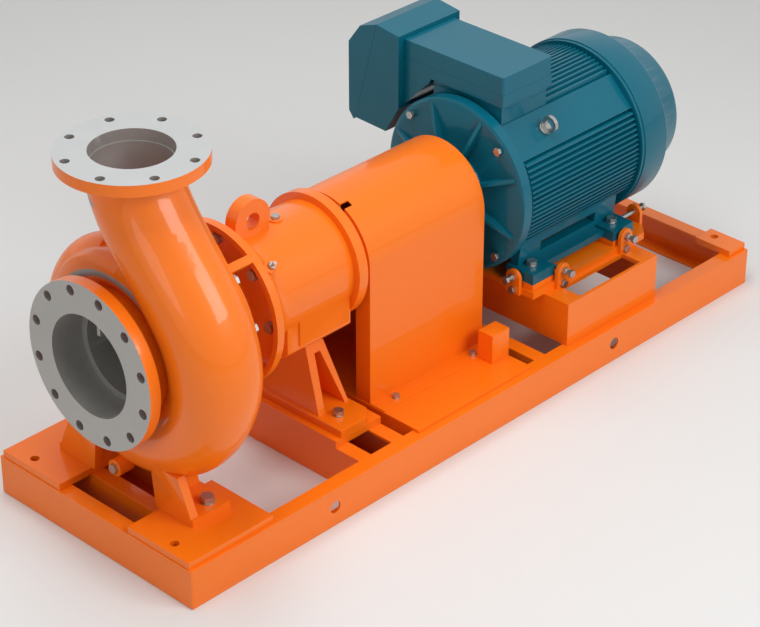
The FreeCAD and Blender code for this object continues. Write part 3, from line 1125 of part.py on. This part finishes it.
def make_motor_rotor():
    store("motor_stator", ring_x(FRAME_X0 + 40, FRAME_X1 - 40, STATOR_R, STATOR_IN_R))
    core = ring_x(ROTOR_X0, ROTOR_X1, STATOR_IN_R - AIR_GAP, MOTOR_CORE_BORE_R + SEAT)
    store("motor_rotor_core", core)
    bearing_end = FAN_BEARING_X + MOTOR_BEARING_W
    shaft = fused([rod_x(MOTOR_TIP_X, MOTOR_SHOULDER_X, MOTOR_SHAFT_R),
                   rod_x(MOTOR_SHOULDER_X, bearing_end, MOTOR_BEARING_BORE_R - MOTOR_RUN),
                   rod_x(ROTOR_X0 - 60, ROTOR_X1 + 30, MOTOR_CORE_BORE_R),
                   rod_x(bearing_end, FAN_X1 + 6, FAN_SHAFT_R)])
    key_seat = box(MOTOR_TIP_X + 8, MOTOR_TIP_X + HUB_L - 8, -KEY_W / 2, KEY_W / 2,
                   SHAFT_Z + MOTOR_SHAFT_R - KEY_H / 2, SHAFT_Z + MOTOR_SHAFT_R + KEY_H)
    store("motor_shaft", less(shaft, [key_seat]))
    hub_disc = ring_x(FAN_X0, FAN_X1, FAN_HUB_R, FAN_SHAFT_R + SEAT)
    plate = ring_x(FAN_X0, FAN_X0 + 4, FAN_R - 20, FAN_HUB_R - 2)
    blades = []
    for k in range(FAN_BLADES):
        blade = box(FAN_X0 + 1, FAN_X1, -2, 2, SHAFT_Z + FAN_HUB_R - 3, SHAFT_Z + FAN_R)
        blade.rotate(Vector(0, 0, SHAFT_Z), AXIS_X, 360.0 * k / FAN_BLADES)
        blades.append(blade)
    store("cooling_fan", fused([hub_disc, plate] + blades))


FAN_SHAFT_R = 27.5
MOTOR_CORE_BORE_R = 38.0
MOTOR_RUN = 0.02
COWL_SLOTS = 16


def make_cowl():
    outer = [(COWL_X0, 0), (COWL_X0, COWL_R), (COWL_X1, COWL_R),
             (COWL_X1 + 12, COWL_R - 8, "via"), (COWL_X1 + 18, COWL_BACK_R + 10),
             (COWL_END - 20, COWL_END_R + 8), (COWL_END - 5, COWL_END_R - 2, "via"),
             (COWL_END, COWL_END_R - 16), (COWL_END, 0)]
    t = COWL_T
    inner = [(COWL_X0 - 1, 0), (COWL_X0 - 1, COWL_R - t), (COWL_X1 - 1, COWL_R - t),
             (COWL_X1 + 10, COWL_R - 8 - t, "via"), (COWL_X1 + 16, COWL_BACK_R + 10 - t),
             (COWL_END - 21, COWL_END_R + 8 - t), (COWL_END - 7, COWL_END_R - 4 - t, "via"),
             (COWL_END - t, COWL_END_R - 18 - t), (COWL_END - t, 0)]
    slots = []
    for k in range(COWL_SLOTS):
        slot = box(COWL_END - 6, COWL_END + 1, -6, 6, SHAFT_Z + 46, SHAFT_Z + 146)
        slot.rotate(Vector(0, 0, SHAFT_Z), AXIS_X, 360.0 * k / COWL_SLOTS)
        slots.append(slot)
    store("fan_cowl", less(turned(outer), [turned(inner)] + slots))


ADAPTER_X0, ADAPTER_X1 = 232.0, 412.0
ADAPTER_Y0, ADAPTER_Y1 = -122.0, 206.0
SEAT_TOP = SHAFT_Z + ADAPTER_SEAT_UP
ADAPTER_SPLIT = SEAT_TOP + 46.0
ADAPTER_TOP = SEAT_TOP + 94.0
SIDE_BOX_X0, SIDE_BOX_X1 = 212.0, 435.0


def yz_prism(x0, x1, outline):
    return prism([Vector(x0, y, z) for y, z in outline], AXIS_X * (x1 - x0))


def make_terminal_box():
    foot = box(BOX_PAD[0], BOX_PAD[1], -BOX_PAD[2], BOX_PAD[2], SEAT_TOP, SEAT_TOP + 14)
    base = yz_prism(ADAPTER_X0, ADAPTER_X1, (
        (ADAPTER_Y0, SEAT_TOP + 14), (ADAPTER_Y0, ADAPTER_SPLIT), (ADAPTER_Y1, ADAPTER_SPLIT),
        (ADAPTER_Y1, SEAT_TOP - 84), (-ADAPTER_Y0, SEAT_TOP), (-ADAPTER_Y0 - 8, SEAT_TOP + 14)))
    store("terminal_adapter", fused([foot, base]))
    lid = box(ADAPTER_X0, ADAPTER_X1, ADAPTER_Y0, ADAPTER_Y1, ADAPTER_SPLIT, ADAPTER_TOP)
    store("terminal_adapter_lid", lid.makeFillet(8, [e for e in lid.Edges if upright(e)
                                                    and e.BoundBox.YMin < 0]))
    y0 = ADAPTER_Y1
    body = ((y0, 811), (282, 821), (356, 540), (250, 537), (y0, 614))
    store("terminal_box", yz_prism(SIDE_BOX_X0, SIDE_BOX_X1, body))
    cover = ((282, 821), (340, 800), (380, 746), (380, 554), (364, 533), (356, 540))
    store("terminal_box_lid", yz_prism(SIDE_BOX_X0, SIDE_BOX_X1, cover))


def make_lifting_eyes():
    eyes = []
    for side in SIDES:
        axis = Vector(0, side, 1).normalize()
        middle = Vector(EYE_BOLT_X[side] - EYE_RING_T / 2, 0, SHAFT_Z) + axis * (EYE_SEAT + 27)
        ring = less(Part.makeCylinder(22, EYE_RING_T, middle, AXIS_X),
                    [Part.makeCylinder(12, EYE_RING_T, middle, AXIS_X)])
        eyes.append(fused([eye_rod(side, EYE_SEAT - 26, 27, EYE_SHANK_R),
                           eye_rod(side, EYE_SEAT, 8, 17), ring]))
    store("lifting_eyes", *eyes)


def make_pump():
    make_casing()
    make_impeller()
    make_pump_shaft()
    make_seal()
    make_cover()
    make_bearing_frame()
    make_bearings()
    make_leg()


def make_drive():
    make_coupling()
    make_guard()
    make_motor_mounting()
    make_motor_frame()
    make_motor_ends()
    make_motor_rotor()
    make_cowl()
    make_terminal_box()
    make_lifting_eyes()


make_base()
make_pump()
make_drive()
os.makedirs("parts", exist_ok=True)
for node, shape in parts.items():
    shape.exportStep("parts/" + node + ".step")
    print(node, shape.isValid(), [round(s.Volume) for s in shape.Solids])
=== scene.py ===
import json
import math

import bmesh
import bpy
import numpy as np
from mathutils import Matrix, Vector


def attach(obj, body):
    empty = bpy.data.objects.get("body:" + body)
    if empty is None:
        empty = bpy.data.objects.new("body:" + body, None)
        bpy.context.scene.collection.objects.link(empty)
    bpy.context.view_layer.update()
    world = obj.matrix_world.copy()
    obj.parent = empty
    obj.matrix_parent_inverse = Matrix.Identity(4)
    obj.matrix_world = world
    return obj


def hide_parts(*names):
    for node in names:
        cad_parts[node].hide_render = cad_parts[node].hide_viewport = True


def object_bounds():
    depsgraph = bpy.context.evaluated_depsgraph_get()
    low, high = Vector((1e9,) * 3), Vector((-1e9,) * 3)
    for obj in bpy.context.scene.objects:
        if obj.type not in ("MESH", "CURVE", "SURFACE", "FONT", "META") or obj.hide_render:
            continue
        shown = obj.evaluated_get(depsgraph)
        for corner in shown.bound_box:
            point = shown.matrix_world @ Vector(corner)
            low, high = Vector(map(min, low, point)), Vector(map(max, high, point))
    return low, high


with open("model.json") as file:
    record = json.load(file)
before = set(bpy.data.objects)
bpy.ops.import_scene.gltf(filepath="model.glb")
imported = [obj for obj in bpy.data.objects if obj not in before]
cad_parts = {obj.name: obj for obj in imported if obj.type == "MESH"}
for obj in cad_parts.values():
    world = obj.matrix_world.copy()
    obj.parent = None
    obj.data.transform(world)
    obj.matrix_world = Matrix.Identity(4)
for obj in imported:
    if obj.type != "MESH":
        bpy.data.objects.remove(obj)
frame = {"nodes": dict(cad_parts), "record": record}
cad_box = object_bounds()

# ------------------------------------------------------------------ places read from the frame, in metres
MM = 0.001
mounts = {m["name"]: m for m in frame["record"]["mounts"]}
SUCTION = Vector(mounts["suction_flange"]["pos_m"])
OUTLET = Vector(mounts["discharge_flange"]["pos_m"])
NODE_BODY = {node: body for body, nodes in frame["record"]["behaviour"]["bodies"].items() for node in nodes}


# ------------------------------------------------------------------ node groups shared by the materials
BROAD_SHARE = 0.7
FINE_SHARE = 0.3
FINE_RATIO = 9.0
PEEL_DETAIL = 1.0
GRAIN_DETAIL = 2.0
WEAR_SIZE = 14.0


def new_group(name, inputs, outputs):
    """An empty shader node group with float inputs (name, default) and named outputs (name, socket type)."""
    group = bpy.data.node_groups.new(name, "ShaderNodeTree")
    for label, default in inputs:
        socket = group.interface.new_socket(label, in_out="INPUT", socket_type="NodeSocketFloat")
        socket.default_value = default
    for label, kind in outputs:
        group.interface.new_socket(label, in_out="OUTPUT", socket_type=kind)
    tree = group.nodes
    return group, tree.new("NodeGroupInput"), tree.new("NodeGroupOutput")


def add(tree, kind, **settings):
    """A node of that kind with its attributes set."""
    node = tree.nodes.new(kind)
    for key, value in settings.items():
        setattr(node, key, value)
    return node


def object_noise(tree, scale, detail=3.0, roughness=0.55):
    """Noise over Object coordinates; the scale is a socket or a number."""
    place = add(tree, "ShaderNodeTexCoord")
    noise = add(tree, "ShaderNodeTexNoise")
    noise.inputs["Detail"].default_value = detail
    noise.inputs["Roughness"].default_value = roughness
    tree.links.new(place.outputs["Object"], noise.inputs["Vector"])
    if isinstance(scale, (int, float)):
        noise.inputs["Scale"].default_value = scale
    else:
        tree.links.new(scale, noise.inputs["Scale"])
    return noise.outputs["Fac"]


def math_node(tree, operation, a, b=None, clamp=False):
    """A Math node; each operand is a socket or a number."""
    node = add(tree, "ShaderNodeMath", operation=operation, use_clamp=clamp)
    for k, value in enumerate((a, b)):
        if value is None:
            continue
        if isinstance(value, (int, float)):
            node.inputs[k].default_value = value
        else:
            tree.links.new(value, node.inputs[k])
    return node.outputs[0]


def build_mottle():
    """A soft drift of light and dark round 1: two noises of different size, drawn in by Amount."""
    group, ins, outs = new_group("mottle", [("Size", 6.0), ("Amount", 0.1)], [("Shade", "NodeSocketFloat")])
    broad = object_noise(group, ins.outputs["Size"])
    fine = object_noise(group, math_node(group, "MULTIPLY", ins.outputs["Size"], FINE_RATIO))
    broad_part = math_node(group, "MULTIPLY", broad, BROAD_SHARE)
    fine_part = math_node(group, "MULTIPLY", fine, FINE_SHARE)
    both = math_node(group, "ADD", broad_part, fine_part)
    swing = math_node(group, "MULTIPLY", math_node(group, "SUBTRACT", both, 0.5), ins.outputs["Amount"])
    group.links.new(math_node(group, "ADD", swing, 1.0), outs.inputs["Shade"])
    return group


def build_skin():
    """The height of a surface: a long orange-peel wave under a short grain, each with its own share."""
    inputs = [("Peel size", 90.0), ("Peel", 0.6), ("Grain size", 600.0), ("Grain", 0.4)]
    group, ins, outs = new_group("skin", inputs, [("Height", "NodeSocketFloat")])
    wave = object_noise(group, ins.outputs["Peel size"], PEEL_DETAIL)
    speck = object_noise(group, ins.outputs["Grain size"], GRAIN_DETAIL)
    peel = math_node(group, "MULTIPLY", wave, ins.outputs["Peel"])
    grain = math_node(group, "MULTIPLY", speck, ins.outputs["Grain"])
    group.links.new(math_node(group, "ADD", peel, grain), outs.inputs["Height"])
    return group


MOTTLE = build_mottle()
SKIN = build_skin()


def use_group(tree, group, **values):
    """Places a group in a material; an input's name is written with _ for each space."""
    node = add(tree, "ShaderNodeGroup", node_tree=group)
    for label, value in values.items():
        node.inputs[label.replace("_", " ")].default_value = value
    return node


# ------------------------------------------------------------------ materials
def finish_material(name, color, roughness, metallic=0.0, coat=0.0, coat_roughness=0.08, mottle=0.12,
                    mottle_size=5.0, spread=0.06, peel=0.6, grain=0.4, depth=0.02, peel_size=90.0,
                    grain_size=600.0, specular=0.5):
    """A finish whose colour drifts a little, whose roughness varies, and whose skin has peel and grain.

    The depth of the skin is in mm, and sizes are in waves per metre.
    """
    material = bpy.data.materials.new(name)
    material.use_nodes = True
    tree = material.node_tree
    shader = tree.nodes["Principled BSDF"]
    shader.inputs["Metallic"].default_value = metallic
    shader.inputs["Coat Weight"].default_value = coat
    shader.inputs["Coat Roughness"].default_value = coat_roughness
    shader.inputs["Specular IOR Level"].default_value = specular
    drift = use_group(tree, MOTTLE, Size=mottle_size, Amount=mottle)
    shade = add(tree, "ShaderNodeMix", data_type="RGBA", blend_type="MULTIPLY")
    shade.inputs["Factor"].default_value = 1.0
    shade.inputs["A"].default_value = (*color, 1.0)
    tree.links.new(drift.outputs["Shade"], shade.inputs["B"])
    tree.links.new(shade.outputs["Result"], shader.inputs["Base Color"])
    about_zero = math_node(tree, "SUBTRACT", object_noise(tree, WEAR_SIZE), 0.5)
    wear = math_node(tree, "MULTIPLY", about_zero, spread * 2.0)
    tree.links.new(math_node(tree, "ADD", wear, roughness, clamp=True), shader.inputs["Roughness"])
    skin = use_group(tree, SKIN, Peel_size=peel_size, Peel=peel, Grain_size=grain_size, Grain=grain)
    bump = add(tree, "ShaderNodeBump")
    bump.inputs["Strength"].default_value = 1.0
    bump.inputs["Distance"].default_value = depth * MM
    tree.links.new(skin.outputs["Height"], bump.inputs["Height"])
    tree.links.new(bump.outputs["Normal"], shader.inputs["Normal"])
    return material


ORANGE = (0.95, 0.188, 0.004)
TEAL = (0.0, 0.118, 0.178)
orange_paint = finish_material("orange_enamel", ORANGE, 0.38, coat=0.4, coat_roughness=0.05, mottle=0.06,
                               peel=0.7, grain=0.3, depth=0.03, specular=0.25)
orange_cast = finish_material("orange_enamel_on_casting", ORANGE, 0.36, coat=0.45, coat_roughness=0.05,
                              mottle=0.08, peel=0.8, grain=0.3, depth=0.06, peel_size=60.0, specular=0.25)
teal_paint = finish_material("teal_enamel_on_casting", TEAL, 0.40, coat=0.3, coat_roughness=0.06, mottle=0.10,
                             peel=0.8, grain=0.4, depth=0.07, peel_size=80.0, specular=0.2)
machined = finish_material("machined_flange_face", (0.44, 0.425, 0.40), 0.45, metallic=0.35, mottle=0.10,
                           mottle_size=22.0, peel=0.2, grain=0.9, depth=0.02)
# the machined finish again, made lighter for the up-facing discharge face: a painted highlight for the top
# light that falls on it
machined_painted_lighter = finish_material("machined_outlet_face_painted_lighter", (0.50, 0.51, 0.51), 0.40, metallic=0.35,
                                  mottle=0.08, mottle_size=22.0, peel=0.2, grain=0.9, depth=0.02)
bare_cast = finish_material("bare_casting_inside", (0.36, 0.345, 0.325), 0.55, metallic=0.45, mottle=0.3,
                            mottle_size=14.0, peel=0.8, grain=0.6, depth=0.25, peel_size=140.0)
zinc = finish_material("zinc_plated_steel", (0.46, 0.45, 0.43), 0.34, metallic=0.95, mottle=0.25,
                       mottle_size=60.0, depth=0.02)
ground_steel = finish_material("ground_steel", (0.50, 0.50, 0.50), 0.26, metallic=1.0, mottle=0.12,
                               mottle_size=40.0, peel=0.1, grain=0.9, depth=0.01)
carbon = finish_material("seal_carbon", (0.035, 0.035, 0.037), 0.38, mottle=0.2, mottle_size=80.0, depth=0.02)
laminated = finish_material("core_laminations", (0.20, 0.20, 0.21), 0.45, metallic=0.8, mottle=0.2,
                            mottle_size=50.0)
fan_plastic = finish_material("fan_moulding", (0.03, 0.032, 0.034), 0.5, mottle=0.15, mottle_size=30.0,
                              depth=0.05)

SLOT_FINISH = {
    "base_paint": orange_paint,
    "guard_paint": orange_paint,
    "pump_paint": orange_cast,
    "motor_paint": teal_paint,
    "zinc_fasteners": zinc,
    "machined_steel": ground_steel,
    "wet_end_iron": bare_cast,
    "seal_ring_carbon": carbon,
    "core_laminations": laminated,
    "fan_plastic": fan_plastic}
NODE_SLOT = {s["node"]: s["material_slot"] for s in frame["record"]["subparts"]}


# ------------------------------------------------------------------ carried-over bodies with worked edges
MERGE_DISTANCE = 0.02 * MM
SLIVER_LENGTH = 0.01 * MM
FLAT_ANGLE = math.radians(0.6)
SHARP_ANGLE = math.radians(38.0)
EDGE_RADIUS = 0.8 * MM
EDGE_SEGMENTS = 2


def merged_copy(node):
    """The node's mesh with its loose triangles joined and its flat faces made whole."""
    mesh = bpy.data.meshes.new(node + "_worked")
    work = bmesh.new()
    work.from_mesh(frame["nodes"][node].data)
    bmesh.ops.remove_doubles(work, verts=work.verts, dist=MERGE_DISTANCE)
    bmesh.ops.dissolve_degenerate(work, dist=SLIVER_LENGTH, edges=work.edges)
    bmesh.ops.dissolve_limit(work, angle_limit=FLAT_ANGLE, verts=work.verts, edges=work.edges)
    work.to_mesh(mesh)
    work.free()
    return mesh


def worked(node):
    """Stands for a node: the same faces, shaded smooth, with every sharp edge rounded by a small radius."""
    mesh = merged_copy(node)
    mesh.materials.clear()
    mesh.materials.append(SLOT_FINISH[NODE_SLOT[node]])
    mesh.polygons.foreach_set("material_index", np.zeros(len(mesh.polygons), int))
    piece = bpy.data.objects.new(node + "_worked", mesh)
    bpy.context.scene.collection.objects.link(piece)
    mesh.shade_smooth()
    mesh.set_sharp_from_angle(angle=SHARP_ANGLE)
    bevel = piece.modifiers.new("edge", "BEVEL")
    bevel.width = EDGE_RADIUS
    bevel.segments = EDGE_SEGMENTS
    bevel.limit_method = "ANGLE"
    bevel.angle_limit = SHARP_ANGLE
    bevel.harden_normals = True
    bevel.use_clamp_overlap = True
    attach(piece, NODE_BODY[node])
    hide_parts(node)
    return piece


def paint(piece, material, test):
    """Gives a material to the faces that the test picks from their middles and normals."""
    mesh = piece.data
    count = len(mesh.polygons)
    middles = np.empty(count * 3)
    normals = np.empty(count * 3)
    index = np.empty(count, int)
    mesh.polygons.foreach_get("center", middles)
    mesh.polygons.foreach_get("normal", normals)
    mesh.polygons.foreach_get("material_index", index)
    mesh.materials.append(material)
    index[test(middles.reshape(-1, 3), normals.reshape(-1, 3))] = len(mesh.materials) - 1
    mesh.polygons.foreach_set("material_index", index)


# pieces inside the casings, which keep the frame's own mesh
HIDDEN = ("motor_stator", "motor_rotor_core", "pump_bearing_rollers", "seal_rotating_ring", "seal_seat",
          "pump_bearing_outer_races", "pump_bearing_inner_races", "motor_bearings", "wear_ring")
for node in HIDDEN:
    inner_mesh = frame["nodes"][node].data
    inner_mesh.materials.clear()
    inner_mesh.materials.append(SLOT_FINISH[NODE_SLOT[node]])
pieces = {node: worked(node) for node in frame["nodes"] if node not in HIDDEN}


# ------------------------------------------------------------------ bare faces and bores of the casing
# each reach lies between the surface that it takes in and the next one
FACE_DEPTH = 3.5 * MM
FLANGE_DEPTH = 32.0 * MM
SUCTION_FLANGE_R = 210.0 * MM
NOZZLE_BORE_R = 128.5 * MM
NOZZLE_DEPTH = 130.0 * MM
OUTLET_BORE_R = 104.0 * MM
OUTLET_DEPTH = 110.0 * MM
HOLE_REACH = 15.0 * MM
FACING = 0.8
SIDEWAYS = 0.3


def across_suction(at):
    """Distance of each point from the axis of the suction nozzle."""
    return np.hypot(at[:, 1] - SUCTION.y, at[:, 2] - SUCTION.z)


def across_outlet(at):
    """Distance of each point from the axis of the discharge flange."""
    return np.hypot(at[:, 0] - OUTLET.x, at[:, 1] - OUTLET.y)


def hole_band(mount):
    """The least and the greatest distance from the flange's axis at which its bolt holes lie."""
    middle = mounts[mount]["dims"]["pcd_mm"] / 2.0 * MM
    return middle - HOLE_REACH, middle + HOLE_REACH


def suction_face(at, normal):
    """The turned face of the suction flange."""
    front = (at[:, 0] < SUCTION.x + FACE_DEPTH) & (normal[:, 0] < -FACING)
    return front & (across_suction(at) < SUCTION_FLANGE_R)


def outlet_face(at, normal):
    """The turned face of the discharge flange."""
    return (at[:, 2] > OUTLET.z - FACE_DEPTH) & (normal[:, 2] > FACING)


def bare_walls(at, normal):
    """Walls of the two bores, and walls of the bolt holes in both flanges."""
    near, far = hole_band("suction_flange")
    out = across_suction(at)
    depth = at[:, 0] - SUCTION.x
    nozzle = (out < NOZZLE_BORE_R) & (depth < NOZZLE_DEPTH)
    suction_holes = (out > near) & (out < far) & (depth < FLANGE_DEPTH) & (np.abs(normal[:, 0]) < SIDEWAYS)
    near, far = hole_band("discharge_flange")
    out = across_outlet(at)
    depth = OUTLET.z - at[:, 2]
    neck = (out < OUTLET_BORE_R) & (depth < OUTLET_DEPTH)
    outlet_holes = (out > near) & (out < far) & (depth < FLANGE_DEPTH) & (np.abs(normal[:, 2]) < SIDEWAYS)
    return nozzle | suction_holes | neck | outlet_holes


paint(pieces["volute_casing"], bare_cast, bare_walls)
paint(pieces["volute_casing"], machined, suction_face)
# the discharge face takes the lighter machined copy, a painted highlight for the light from above
paint(pieces["volute_casing"], machined_painted_lighter, outlet_face)


# ------------------------------------------------------------------ floor, light and camera
BACKDROP = (0.84, 0.84, 0.84)
SKY_STRENGTH = 0.34
FLOOR_HALF = 9.0
FLOOR_GAP = 0.5 * MM
VIEW_FROM = (-3.98104, -3.78065, 3.46406)
VIEW_AZIMUTH = math.radians(-45.9923)
VIEW_ELEVATION = math.radians(30.7695)
LENS_MM = 121.77
SENSOR_MM = 36.0
# name, place, point aimed at, size and watts of each softbox
SOFTBOXES = (
    ("key_near_side", (0.6, -4.2, 3.4), (0.0, 0.0, 0.45), (3.0, 2.0), 125.0),
    ("top_strip", (-0.6, 0.4, 4.2), (-0.1, 0.0, 0.5), (3.6, 1.6), 85.0),
    ("front_fill", (-4.6, -0.6, 2.2), (-0.6, 0.0, 0.5), (2.0, 2.0), 22.0))


def camera_only(tree, shader_socket, color, out_socket):
    """Shows one plain colour to the camera, to gloss and through glass, and the shader to all else."""
    path = add(tree, "ShaderNodeLightPath")
    seen = math_node(tree, "ADD", path.outputs["Is Camera Ray"], path.outputs["Is Glossy Ray"], clamp=True)
    seen = math_node(tree, "ADD", seen, path.outputs["Is Transmission Ray"], clamp=True)
    plain = add(tree, "ShaderNodeBackground")
    plain.inputs["Color"].default_value = (*color, 1.0)
    mix = add(tree, "ShaderNodeMixShader")
    tree.links.new(seen, mix.inputs[0])
    tree.links.new(shader_socket, mix.inputs[1])
    tree.links.new(plain.outputs[0], mix.inputs[2])
    tree.links.new(mix.outputs[0], out_socket)


def make_world():
    """An even white sky for light, with the plain backdrop where it is seen."""
    world = bpy.data.worlds.new("studio")
    bpy.context.scene.world = world
    world.use_nodes = True
    tree = world.node_tree
    light = tree.nodes["Background"]
    light.inputs["Color"].default_value = (1.0, 1.0, 1.0, 1.0)
    light.inputs["Strength"].default_value = SKY_STRENGTH
    camera_only(tree, light.outputs[0], BACKDROP, tree.nodes["World Output"].inputs["Surface"])


def make_floor():
    """A pale square under the set."""
    mesh = bpy.data.meshes.new("floor")
    half = FLOOR_HALF
    z = cad_box[0][2] - FLOOR_GAP
    corners = [(-half, -half, z), (half, -half, z), (half, half, z), (-half, half, z)]
    mesh.from_pydata(corners, [], [(0, 1, 2, 3)])
    floor = bpy.data.objects.new("floor", mesh)
    bpy.context.scene.collection.objects.link(floor)
    pale = finish_material("pale_floor", (0.78, 0.78, 0.77), 0.75, mottle=0.03, spread=0.02, specular=0.2)
    floor.data.materials.append(pale)


def softbox(name, place, aim, size, watts):
    """A rectangular lamp that faces the point it is aimed at."""
    lamp = bpy.data.lights.new(name, "AREA")
    lamp.shape = "RECTANGLE"
    lamp.size, lamp.size_y = size
    lamp.energy = watts
    thing = bpy.data.objects.new(name, lamp)
    thing.location = place
    thing.rotation_euler = (Vector(place) - Vector(aim)).to_track_quat("Z", "Y").to_euler()
    bpy.context.scene.collection.objects.link(thing)


def make_camera():
    """Looks along the direction that the azimuth, from -Y, and the elevation give."""
    data = bpy.data.cameras.new("view")
    data.sensor_width = SENSOR_MM
    data.lens = LENS_MM
    data.clip_end = 60.0
    camera = bpy.data.objects.new("view", data)
    camera.location = VIEW_FROM
    back = Vector((math.sin(VIEW_AZIMUTH) * math.cos(VIEW_ELEVATION),
                   -math.cos(VIEW_AZIMUTH) * math.cos(VIEW_ELEVATION), math.sin(VIEW_ELEVATION)))
    camera.rotation_euler = back.to_track_quat("Z", "Y").to_euler()
    bpy.context.scene.collection.objects.link(camera)
    bpy.context.scene.camera = camera


make_camera()
make_world()
make_floor()
for box in SOFTBOXES:
    softbox(*box)
bpy.context.scene.view_settings.view_transform = "Standard"
